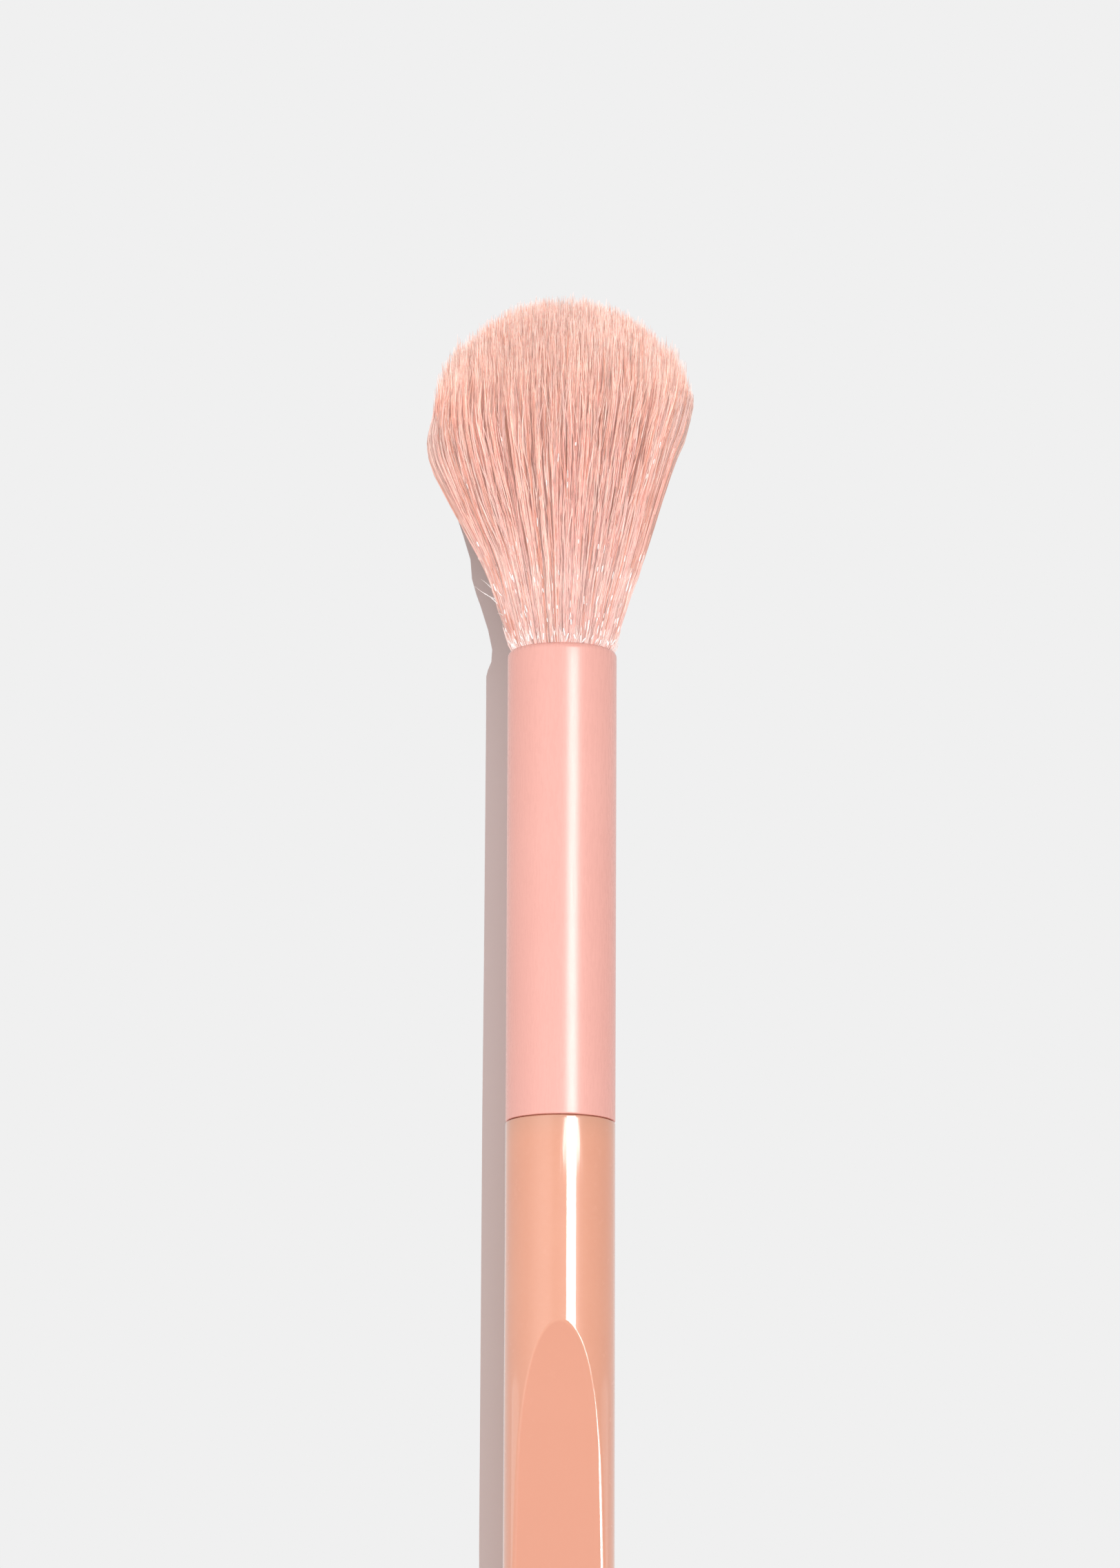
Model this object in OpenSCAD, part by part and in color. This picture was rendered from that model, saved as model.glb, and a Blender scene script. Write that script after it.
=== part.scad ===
// Soft round-headed hand brush: a domed tuft of fine filaments bound and
// glued into a flush metal ferrule, on a moulded handle with a scooped,
// flat thumb facet. The brush stands on its flat tail: +Z runs from the
// tail to the tuft, the facet faces -Y, and the origin is the centre of
// the tail face. Everything is in millimetres.

/* [Handle] */
// Length of the handle from its flat tail to the seam under the ferrule
handle_l = 82; // [66:1:110]
// Outside diameter at the seam, shared flush by handle and ferrule
body_d = 13; // [12:0.5:16]
// Diameter the handle gains between the seam and the tail
tail_gain = 0.2; // [0:0.1:0.6]
// Bevel around the flat tail
tail_bevel = 0.8; // [0.3:0.1:1.5]
// Diameter of the blind core that keeps the moulded walls even
core_d = 5; // [3:0.5:6]
// Height of the closed end of that core above the tail
core_floor = 32; // [24:1:45]

/* [Thumb facet] */
// Distance from the seam down to the point of the facet's arch
facet_drop = 24.2; // [16:0.1:32]
// Angle at which the scoop leaves the round surface, in degrees
facet_entry = 12.2; // [9:0.1:14]
// Radius of the scoop that runs into the flat
scoop_r = 95; // [70:1:110]
// Slope of the flat below the scoop, in degrees
facet_slope = 1.7; // [0.4:0.1:2.4]

/* [Tenon] */
// Length of the tenon that stands inside the ferrule
tenon_l = 24; // [18:1:28]
// Thickness of the adhesive film around the tenon
glue_t = 0.1; // [0.08:0.01:0.15]
// Number of glue grooves around the tenon
groove_n = 4; // [2:1:6]
// Depth of each glue groove
groove_depth = 0.35; // [0.2:0.05:0.5]

/* [Ferrule] */
// Length of the ferrule from the seam to its rolled rim
ferrule_l = 57; // [52:1:70]
// Wall of the drawn tube
ferrule_wall = 0.4; // [0.3:0.05:0.5]
// Outside radius of the rolled rim
rim_r = 0.75; // [0.6:0.05:0.9]
// Open gap between the ferrule's end and the handle's shoulder
seam_gap = 0.14; // [0.08:0.02:0.2]

/* [Knot inside the ferrule] */
// Depth of the bound root below the mouth
root_depth = 18; // [16:1:20]
// Height of the resin that grips the root
resin_l = 9.5; // [8:0.5:10]
// Diameter of the binding thread
thread_d = 0.42; // [0.36:0.02:0.5]
// Turns of binding thread
thread_turns = 7; // [4:1:8]

/* [Tuft] */
// Height of the dome above the mouth
head_l = 42.9; // [41:0.1:46]
// Radius of the domed end
dome_r = 15.85; // [14.5:0.05:17]
// Radius of the tuft where it leaves the mouth
mouth_tuft_r = 6.0; // [5.8:0.05:6.2]
// Share of the tuft's radius taken by the shorter core filaments
core_share = 0.62; // [0.5:0.01:0.7]
// How far the core filaments stop short of the dome
core_short = 6.2; // [5:0.1:8]

/* [Flex of the tuft] */
// Depth of the front-to-back flex point below the mouth
flex_a_drop = 2; // [1.8:0.1:2.4]
// Radius of the fixed dome that the flexing filaments ride over
flex_a_r = 8; // [7.9:0.05:8.1]
// Height of the side-to-side flex point above the mouth
flex_b_rise = 2; // [1.8:0.1:2.4]
// Radius of the lower slice where the upper slice rides over it
flex_b_r = 12; // [11.8:0.1:12.4]
// Free play between the slices
flex_play = 0.05; // [0.03:0.01:0.1]

/* [Hidden] */
$fn = 96;

fit = 0.01;                               // hairline between pieces that touch
body_r = body_d / 2;
tail_r = body_r + tail_gain / 2;
seam_z = handle_l;
mouth_z = seam_z + ferrule_l;
bore_r = body_r - ferrule_wall;           // inside of the ferrule
tenon_r = bore_r - glue_t - 2 * fit;
tenon_top = seam_z + tenon_l;
lip_r = body_r - rim_r;                   // the rim's rolled edge
edge = 0.15;                              // broken edges at the seam

// Facet: the round surface is left at facet_z, scooped along a large
// cylinder, and carried on by a plane tangent to that cylinder.
facet_z = seam_z - facet_drop;
facet_r = body_r + (tail_r - body_r) * facet_drop / handle_l;
scoop_y = -facet_r - scoop_r * cos(facet_entry);
scoop_z = facet_z - scoop_r * sin(facet_entry);

// Tuft: the flare starts at the mouth and meets the dome at join_h.
dome_h = head_l - dome_r;
join_h = dome_h - 2.4;
join_r = sqrt(dome_r * dome_r - (dome_h - join_h) * (dome_h - join_h));
flare_a = 0.27;
flare_b = (join_r - mouth_tuft_r - flare_a * join_h) / (join_h * join_h);
function flare_r(h) = mouth_tuft_r + flare_a * h + flare_b * h * h;
flex_a_z = mouth_z - flex_a_drop;
flex_b_z = mouth_z + flex_b_rise;
root_z = mouth_z - root_depth;
root_r = bore_r - 0.55;                   // the bound bundle
inner_r = 5.0 / 13 * body_d;              // bundle inside the ring of short fibres
core_r = dome_r * core_share;
core_h = head_l - core_short - core_r;

// --- Handle -------------------------------------------------------------

// Scoop and flat that cut the thumb facet
module facet_cutter() {
    translate([0, scoop_y, scoop_z])
        rotate([0, 90, 0])
            cylinder(h = 3 * body_d, r = scoop_r, center = true, $fn = 720);
    translate([0, scoop_y + scoop_r * cos(facet_slope), scoop_z + scoop_r * sin(facet_slope)])
        rotate([facet_slope, 0, 0])
            translate([-1.5 * body_d, -body_d, -1.5 * handle_l])
                cube([3 * body_d, body_d, 1.5 * handle_l]);
}

// Height of the middle of glue groove i
function groove_z(i) = seam_z + 4 + i * (tenon_l - 8) / (groove_n - 1);

// One band around the tenon, cut out of it or filled with adhesive
module band(z, r_in, r_out, w) {
    translate([0, 0, z - w / 2])
        difference() {
            cylinder(h = w, r = r_out);
            translate([0, 0, -1]) cylinder(h = w + 2, r = r_in);
        }
}

module handle() {
    color([0.95, 0.68, 0.58])
        difference() {
            rotate_extrude()
                polygon([
                    [0, 0], [tail_r - tail_bevel, 0], [tail_r, tail_bevel],
                    [body_r, seam_z - edge], [body_r - edge, seam_z],
                    [tenon_r, seam_z], [tenon_r, tenon_top - 0.8],
                    [tenon_r - 0.8, tenon_top], [0, tenon_top]
                ]);
            facet_cutter();
            translate([0, 0, core_floor + core_d / 2])
                cylinder(h = tenon_top, d = core_d);
            translate([0, 0, core_floor + core_d / 2]) sphere(d = core_d);
            for (i = [0 : groove_n - 1])
                band(groove_z(i), tenon_r - groove_depth, tenon_r + 1, 1.2);
        }
}

// Film of adhesive between tenon and ferrule, keyed into the grooves
module tenon_glue() {
    color([0.86, 0.80, 0.66])
        union() {
            translate([0, 0, seam_z + 0.3])
                difference() {
                    cylinder(h = tenon_l - 1.3, r = bore_r - fit);
                    translate([0, 0, -1])
                        cylinder(h = tenon_l + 1, r = tenon_r + fit);
                }
            for (i = [0 : groove_n - 1])
                band(groove_z(i), tenon_r - groove_depth + fit, bore_r - fit, 1.2 - 2 * fit);
        }
}

// --- Ferrule ------------------------------------------------------------

// Half section of the drawn tube with its rim rolled inwards
module ferrule_section() {
    polygon([
        [bore_r, seam_z + seam_gap + edge], [bore_r + edge, seam_z + seam_gap],
        [body_r - edge, seam_z + seam_gap], [body_r, seam_z + seam_gap + edge],
        [body_r, mouth_z - rim_r], [bore_r, mouth_z - rim_r]
    ]);
    intersection() {
        translate([body_r - rim_r, mouth_z - rim_r])
            difference() {
                circle(r = rim_r);
                circle(r = rim_r - ferrule_wall);
            }
        translate([body_r - rim_r, mouth_z - rim_r]) square(rim_r + 1);
    }
}

module ferrule() {
    color([0.97, 0.71, 0.67]) rotate_extrude() ferrule_section();
}

// --- Knot ---------------------------------------------------------------

// Resin cast around the root of the knot, closed below it
module root_plug() {
    color([0.90, 0.80, 0.62])
        difference() {
            translate([0, 0, root_z - 3.5])
                cylinder(h = resin_l, r = bore_r - fit);
            translate([0, 0, root_z - fit])
                cylinder(h = resin_l, r = root_r + fit);
        }
}

// Thread wound side by side around the root, each turn sunk into the next
module root_binding() {
    pitch = thread_d * 0.84;
    color([0.95, 0.93, 0.88])
        rotate_extrude()
            for (i = [0 : thread_turns - 1])
                translate([root_r + fit + thread_d / 2, root_z + resin_l - 2.5 + i * pitch])
                    circle(d = thread_d, $fn = 32);
}

// Bound root of the filaments, up to the fixed dome at the flex point
module bristle_root() {
    color([0.93, 0.70, 0.64])
        rotate_extrude()
            intersection() {
                polygon([
                    [0, root_z], [root_r, root_z], [root_r, mouth_z - 7],
                    [inner_r, mouth_z - 5], [inner_r, mouth_z + 2.3],
                    [inner_r + 1.35, mouth_z + 2.3], [inner_r + 1.35, mouth_z + 9],
                    [0, mouth_z + 9]
                ]);
                union() {
                    translate([0, flex_a_z]) circle(r = flex_a_r);
                    translate([0, root_z - 1]) square([body_r, root_depth - flex_a_drop]);
                }
            }
}

// Ring of short pale fibres that packs the mouth of the ferrule
module mouth_fibres() {
    color([0.98, 0.93, 0.91])
        rotate_extrude()
            polygon([
                [inner_r + 0.03, mouth_z - 4.8], [bore_r - 0.05, mouth_z - 6],
                [bore_r - 0.05, mouth_z - 1.3], [lip_r - 0.08, mouth_z - rim_r],
                [lip_r - 0.08, mouth_z + 0.05], [lip_r + 0.35, mouth_z + 0.9],
                [lip_r + 0.5, mouth_z + 1.9], [inner_r + 0.03, mouth_z + 2.2]
            ]);
}

// --- Tuft ---------------------------------------------------------------

// Half section of the whole tuft: flare below, dome above
module tuft_section() {
    steps = 12;
    polygon(concat(
        [[0, mouth_z]],
        [for (i = [0 : steps]) let (h = join_h * i / steps) [flare_r(h), mouth_z + h]],
        [[0, mouth_z + join_h]]
    ));
    intersection() {
        translate([0, mouth_z + dome_h]) circle(r = dome_r);
        translate([0, mouth_z + join_h - 0.01]) square(2 * dome_r);
    }
}

// Half section of the shorter core filaments, grown by g for its cavity
module core_section(g) {
    steps = 8;
    top = core_h - 1;
    polygon(concat(
        [[0, mouth_z - g]],
        [for (i = [0 : steps]) let (h = top * i / steps)
            [min(core_share * flare_r(h), core_r - 0.05) + g, mouth_z + h]],
        [[0, mouth_z + top]]
    ));
    intersection() {
        translate([0, mouth_z + core_h]) circle(r = core_r + g);
        translate([0, mouth_z + top - 0.01]) square(2 * dome_r);
    }
}

// Slice of a half section between the two flex surfaces
module lower_slice() {
    intersection() {
        difference() {
            children();
            translate([0, flex_a_z]) circle(r = flex_a_r + flex_play);
        }
        translate([0, flex_b_z]) circle(r = flex_b_r);
        square([4 * dome_r, 4 * mouth_z]);
    }
}

// Part of a half section above the upper flex surface
module upper_slice() {
    intersection() {
        difference() {
            children();
            translate([0, flex_b_z]) circle(r = flex_b_r + flex_play);
        }
        square([4 * dome_r, 4 * mouth_z]);
    }
}

module outer_bristles_lower() {
    color([0.95, 0.73, 0.67])
        rotate_extrude() lower_slice()
            difference() { tuft_section(); core_section(flex_play); }
}

module core_bristles_lower() {
    color([0.90, 0.64, 0.57])
        rotate_extrude() lower_slice() core_section(0);
}

module outer_bristles_upper() {
    color([0.97, 0.77, 0.71])
        rotate_extrude() upper_slice()
            difference() { tuft_section(); core_section(flex_play); }
}

module core_bristles_upper() {
    color([0.91, 0.66, 0.59])
        rotate_extrude() upper_slice() core_section(0);
}

handle();
tenon_glue();
ferrule();
root_plug();
root_binding();
bristle_root();
mouth_fibres();
outer_bristles_lower();
core_bristles_lower();
outer_bristles_upper();
core_bristles_upper();
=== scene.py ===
import math

import bpy
import numpy as np
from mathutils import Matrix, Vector


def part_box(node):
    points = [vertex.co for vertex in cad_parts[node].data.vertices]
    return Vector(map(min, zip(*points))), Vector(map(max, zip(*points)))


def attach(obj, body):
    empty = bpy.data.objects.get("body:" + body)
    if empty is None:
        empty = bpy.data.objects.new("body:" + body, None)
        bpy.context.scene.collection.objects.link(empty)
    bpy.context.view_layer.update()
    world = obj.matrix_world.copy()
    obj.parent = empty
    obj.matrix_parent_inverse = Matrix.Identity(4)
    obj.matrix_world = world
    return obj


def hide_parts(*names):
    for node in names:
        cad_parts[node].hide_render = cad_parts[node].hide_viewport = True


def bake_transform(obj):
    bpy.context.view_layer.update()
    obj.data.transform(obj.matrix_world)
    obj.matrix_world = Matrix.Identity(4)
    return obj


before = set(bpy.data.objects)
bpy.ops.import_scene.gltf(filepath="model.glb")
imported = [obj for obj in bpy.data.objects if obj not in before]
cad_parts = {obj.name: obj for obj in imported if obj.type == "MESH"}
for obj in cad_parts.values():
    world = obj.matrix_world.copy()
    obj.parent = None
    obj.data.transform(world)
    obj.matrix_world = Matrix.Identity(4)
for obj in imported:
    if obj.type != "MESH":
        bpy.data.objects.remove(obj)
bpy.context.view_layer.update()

MM = 0.001
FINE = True
rng = np.random.default_rng(8541)

# ------------------------------------------------------------------
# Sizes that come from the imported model, in millimetres
# ------------------------------------------------------------------
f_lo, f_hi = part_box("ferrule")
h_lo, h_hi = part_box("handle")
t_lo, t_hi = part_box("outer_bristles_upper")
SEAM = round((f_lo.z / MM) - 0.14, 2)       # shoulder of the handle
MOUTH = round(f_hi.z / MM, 2)               # top of the rolled rim
TIP = round(t_hi.z / MM, 2)                 # top of the tuft
BODY_R = round(f_hi.x / MM, 3)              # handle and ferrule, flush
TAIL_R = 6.6
TENON_TOP = round(h_hi.z / MM, 2)
HEAD_L = TIP - MOUTH
DOME_R = 15.85
DOME_H = HEAD_L - DOME_R                    # centre of the dome above the mouth
CUT_H = 9.5                                 # filaments are parted here, above the mouth

# The scooped thumb facet, as the CAD part cuts it
FACET_Z = SEAM - 24.2
FACET_ENTRY = math.radians(12.2)
SCOOP_R = 95.0
FACET_SLOPE = math.radians(1.7)
FACET_R = BODY_R + (TAIL_R - BODY_R) * 24.2 / SEAM
SCOOP_Y = -FACET_R - SCOOP_R * math.cos(FACET_ENTRY)
SCOOP_Z = FACET_Z - SCOOP_R * math.sin(FACET_ENTRY)
FLAT_Y = SCOOP_Y + SCOOP_R * math.cos(FACET_SLOPE)
FLAT_Z = SCOOP_Z + SCOOP_R * math.sin(FACET_SLOPE)


# ------------------------------------------------------------------
# Mesh helpers
# ------------------------------------------------------------------
def make_mesh(name, verts_mm, faces, uvs=None, sharp=math.radians(38)):
    """A mesh object from vertices in millimetres, a list of face arrays (tris and quads) and per-corner UVs."""
    me = bpy.data.meshes.new(name)
    verts = np.asarray(verts_mm, np.float64) * MM
    me.vertices.add(len(verts))
    me.vertices.foreach_set("co", verts.astype(np.float32).ravel())
    sizes = np.concatenate([np.full(len(f), f.shape[1], np.int32) for f in faces])
    loops = np.concatenate([f.astype(np.int32).ravel() for f in faces])
    starts = np.concatenate([[0], np.cumsum(sizes)[:-1]]).astype(np.int32)
    me.loops.add(len(loops))
    me.loops.foreach_set("vertex_index", loops)
    me.polygons.add(len(sizes))
    me.polygons.foreach_set("loop_start", starts)
    me.polygons.foreach_set("loop_total", sizes)
    me.update(calc_edges=True)
    if uvs is not None:
        layer = me.uv_layers.new(name="OFBake")
        layer.data.foreach_set("uv", np.concatenate([u.reshape(-1, 2) for u in uvs]).astype(np.float32).ravel())
    me.polygons.foreach_set("use_smooth", np.ones(len(sizes), bool))
    me.validate()
    if sharp is not None:
        me.set_sharp_from_angle(angle=sharp)
    ob = bpy.data.objects.new(name, me)
    bpy.context.scene.collection.objects.link(ob)
    return ob


def rings_to_mesh(name, rings, arc, closed=False, pole_start=False, pole_end=False, sharp=math.radians(38)):
    """Skins rings (K, N, 3) that share their N points. A pole closes an end with one vertex, given as that ring's mean."""
    rings = np.asarray(rings, float)
    k, n = rings.shape[:2]
    verts = rings.reshape(-1, 3)
    idx = np.arange(k * n).reshape(k, n)
    a, b = idx[:-1], idx[1:]
    if closed:
        a, b = idx, np.roll(idx, -1, axis=0)
    quads = np.stack([a, np.roll(a, -1, axis=1), np.roll(b, -1, axis=1), b], axis=-1).reshape(-1, 4)
    arc = np.asarray(arc, float)
    span = arc[-1]
    v0 = arc[:-1] / span if not closed else arc[:k] / span
    v1 = arc[1:] / span if not closed else arc[1:k + 1] / span
    u = np.arange(n) / n
    u0 = np.broadcast_to(u, (len(v0), n))
    u1 = np.broadcast_to((np.arange(n) + 1) / n, (len(v0), n))
    V0 = np.broadcast_to(v0[:, None], (len(v0), n))
    V1 = np.broadcast_to(v1[:, None], (len(v0), n))
    uv = np.stack([np.stack([u0, V0], -1), np.stack([u1, V0], -1), np.stack([u1, V1], -1), np.stack([u0, V1], -1)], axis=2)
    uv = 0.004 + 0.992 * uv.reshape(-1, 4, 2)
    faces, uvs = [quads], [uv]
    extra = []
    for ring, do, flip in ((0, pole_start, True), (k - 1, pole_end, False)):
        if not do:
            continue
        c = len(verts) + len(extra)
        extra.append(rings[ring].mean(0))
        r = idx[ring]
        s = np.roll(r, -1)
        tri = np.stack([np.full(n, c), s, r], -1) if flip else np.stack([np.full(n, c), r, s], -1)
        faces.append(tri)
        vv = 0.0 if flip else 1.0
        near = 0.02 if flip else 0.98
        uu = 0.004 + 0.992 * u
        un = 0.004 + 0.992 * (np.arange(n) + 1) / n
        mid = (uu + un) / 2
        if flip:
            t = np.stack([np.stack([mid, np.full(n, vv)], -1), np.stack([un, np.full(n, near)], -1), np.stack([uu, np.full(n, near)], -1)], 1)
        else:
            t = np.stack([np.stack([mid, np.full(n, vv)], -1), np.stack([uu, np.full(n, near)], -1), np.stack([un, np.full(n, near)], -1)], 1)
        uvs.append(t)
    if extra:
        verts = np.concatenate([verts, np.array(extra)])
    return make_mesh(name, verts, faces, uvs, sharp)


def round_corner(p0, p1, p2, r, steps=4):
    """Points of a small arc of radius r that rounds the corner p1 of a profile."""
    p0, p1, p2 = map(np.array, (p0, p1, p2))
    a = (p0 - p1) / np.linalg.norm(p0 - p1)
    b = (p2 - p1) / np.linalg.norm(p2 - p1)
    ang = math.acos(max(-1, min(1, float(a @ b))))
    if ang > math.pi - 0.02:
        return [tuple(p1)]
    d = r / math.tan(ang / 2)
    d = min(d, 0.45 * np.linalg.norm(p0 - p1), 0.45 * np.linalg.norm(p2 - p1))
    rr = d * math.tan(ang / 2)
    c = p1 + (a + b) / np.linalg.norm(a + b) * rr / math.sin(ang / 2)
    s, e = p1 + a * d - c, p1 + b * d - c
    out = []
    for i in range(steps + 1):
        t = i / steps
        w = s * (1 - t) + e * t
        out.append(tuple(c + w / np.linalg.norm(w) * rr))
    return out


def fine_profile(points, radii, longest=2.0):
    """A profile with its corners rounded and its long runs divided."""
    out = [points[0]]
    for i in range(1, len(points) - 1):
        if radii[i] > 0:
            out += round_corner(points[i - 1], points[i], points[i + 1], radii[i])
        else:
            out.append(points[i])
    out.append(points[-1])
    full = [out[0]]
    for p, q in zip(out, out[1:]):
        n = max(1, int(math.ceil(math.dist(p, q) / longest)))
        for j in range(1, n + 1):
            full.append((p[0] + (q[0] - p[0]) * j / n, p[1] + (q[1] - p[1]) * j / n))
    keep = [full[0]]
    for p in full[1:]:
        if math.dist(p, keep[-1]) > 1e-4:
            keep.append(p)
    return keep


# ------------------------------------------------------------------
# Materials
# ------------------------------------------------------------------
def lin(r, g, b):
    def f(c):
        c /= 255.0
        return c / 12.92 if c <= 0.04045 else ((c + 0.055) / 1.055) ** 2.4
    return (f(r), f(g), f(b), 1.0)


class Mat:
    """A small helper that builds one node material."""

    def __init__(self, name):
        self.m = bpy.data.materials.new(name)
        self.m.use_nodes = True
        self.nt = self.m.node_tree
        self.nt.nodes.clear()
        self.out = self.node("ShaderNodeOutputMaterial")
        self.p = self.node("ShaderNodeBsdfPrincipled")
        self.link(self.p.outputs[0], self.out.inputs[0])

    def node(self, kind, **props):
        n = self.nt.nodes.new(kind)
        for k, v in props.items():
            setattr(n, k, v)
        return n

    def link(self, a, b):
        self.nt.links.new(a, b)

    def set(self, **values):
        for k, v in values.items():
            self.p.inputs[k.replace("_", " ")].default_value = v

    def math(self, op, a, b=None, c=None, clamp=False):
        n = self.node("ShaderNodeMath", operation=op, use_clamp=clamp)
        for i, x in enumerate((a, b, c)):
            if x is None:
                continue
            if isinstance(x, (int, float)):
                n.inputs[i].default_value = x
            else:
                self.link(x, n.inputs[i])
        return n.outputs[0]

    def mix(self, fac, a, b, blend="MIX"):
        n = self.node("ShaderNodeMix", data_type="RGBA", blend_type=blend)
        for i, x in ((0, fac), (6, a), (7, b)):
            if isinstance(x, (int, float)):
                n.inputs[i].default_value = x
            elif isinstance(x, tuple):
                n.inputs[i].default_value = x
            else:
                self.link(x, n.inputs[i])
        return n.outputs[2]

    def noise(self, vector, scale, detail=3.0, rough=0.5):
        n = self.node("ShaderNodeTexNoise")
        n.inputs["Scale"].default_value = scale
        n.inputs["Detail"].default_value = detail
        n.inputs["Roughness"].default_value = rough
        self.link(vector, n.inputs["Vector"])
        return n.outputs["Fac"]

    def remap(self, x, lo, hi, to_lo=0.0, to_hi=1.0):
        n = self.node("ShaderNodeMapRange")
        n.inputs["From Min"].default_value = lo
        n.inputs["From Max"].default_value = hi
        n.inputs["To Min"].default_value = to_lo
        n.inputs["To Max"].default_value = to_hi
        self.link(x, n.inputs["Value"])
        return n.outputs[0]

    def ramp(self, x, stops):
        n = self.node("ShaderNodeValToRGB")
        r = n.color_ramp
        r.elements[0].position, r.elements[0].color = stops[0]
        r.elements[1].position, r.elements[1].color = stops[-1]
        for pos, col in stops[1:-1]:
            e = r.elements.new(pos)
            e.color = col
        self.link(x, n.inputs[0])
        return n.outputs[0]

    def bump(self, height, strength, distance):
        n = self.node("ShaderNodeBump")
        n.inputs["Strength"].default_value = strength
        n.inputs["Distance"].default_value = distance
        self.link(height, n.inputs["Height"])
        return n.outputs[0]


def handle_material():
    k = Mat("handle_gloss_peach")
    pos = k.node("ShaderNodeTexCoord").outputs["Object"]
    sep = k.node("ShaderNodeSeparateXYZ")
    k.link(pos, sep.inputs[0])
    cloud = k.noise(pos, 95.0, 2.0)
    fleck = k.noise(pos, 1400.0, 2.0)
    base = k.mix(k.remap(cloud, 0.3, 0.7), lin(241, 170, 142), lin(244, 174, 146))
    base = k.mix(k.remap(fleck, 0.35, 0.75, 0.0, 0.06), base, lin(250, 192, 170))
    # painted shade: the cut facet is painted a shade deeper than the round of the handle, standing in for the darker
    # look it has under the lamps
    radius = k.math("SQRT", k.math("ADD", k.math("MULTIPLY", sep.outputs[0], sep.outputs[0]),
                                   k.math("MULTIPLY", sep.outputs[1], sep.outputs[1])))
    skin = k.math("ADD", k.math("MULTIPLY", sep.outputs[2], (BODY_R - TAIL_R) / SEAM), TAIL_R * MM)
    cut = k.remap(k.math("SUBTRACT", skin, radius), 0.03 * MM, 0.10 * MM)
    below = k.remap(sep.outputs[2], FACET_Z * MM, (FACET_Z - 0.3) * MM)
    cut = k.math("MULTIPLY", cut, below, clamp=True)
    base = k.mix(cut, base, lin(237, 164, 137))
    # painted shade: the colour is made greyer and darker just below the ferrule, standing in for a dark reflection and
    # shade there
    seam_painted_shade = k.remap(sep.outputs[2], (SEAM - 3.4) * MM, (SEAM - 0.1) * MM)
    seam_painted_shade = k.math("POWER", seam_painted_shade, 1.6, clamp=True)
    base = k.mix(k.math("MULTIPLY", seam_painted_shade, 0.45), base, lin(214, 163, 138))
    k.link(base, k.p.inputs["Base Color"])
    scuff = k.noise(pos, 700.0, 5.0, 0.65)
    k.link(k.remap(scuff, 0.3, 0.8, 0.22, 0.30), k.p.inputs["Roughness"])
    peel = k.noise(pos, 420.0, 1.0)
    k.link(k.bump(peel, 0.02, 0.00002), k.p.inputs["Normal"])
    k.set(IOR=1.5, Coat_Weight=1.0, Coat_Roughness=0.03, Coat_IOR=1.5, Specular_IOR_Level=0.06)
    return k.m


def ferrule_material():
    k = Mat("ferrule_satin_pink")
    pos = k.node("ShaderNodeTexCoord").outputs["Object"]
    stretch = k.node("ShaderNodeMapping")
    stretch.inputs["Scale"].default_value = (1.0, 1.0, 0.12)
    k.link(pos, stretch.inputs[0])
    cloud = k.noise(pos, 70.0, 2.0)
    grain = k.noise(stretch.outputs[0], 3800.0, 3.0, 0.6)
    base = k.mix(k.remap(cloud, 0.3, 0.7), lin(252, 185, 173), lin(255, 189, 177))
    base = k.mix(k.remap(grain, 0.35, 0.7, 0.0, 0.05), base, lin(240, 172, 160))
    k.link(base, k.p.inputs["Base Color"])
    k.link(k.remap(grain, 0.3, 0.75, 0.25, 0.31), k.p.inputs["Roughness"])
    k.link(k.bump(grain, 0.02, 0.00001), k.p.inputs["Normal"])
    k.set(Metallic=0.0, IOR=1.5, Specular_IOR_Level=0.33, Coat_Weight=0.0)
    return k.m


def glow_to_camera(k, colour, amount):
    """Painted light: the filament glows in its own colour to camera rays only, standing in for light that has passed
    from filament to filament inside the knot.
    """
    path = k.node("ShaderNodeLightPath")
    k.link(colour, k.p.inputs["Emission Color"])
    k.link(k.math("MULTIPLY", path.outputs["Is Camera Ray"], amount), k.p.inputs["Emission Strength"])


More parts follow.
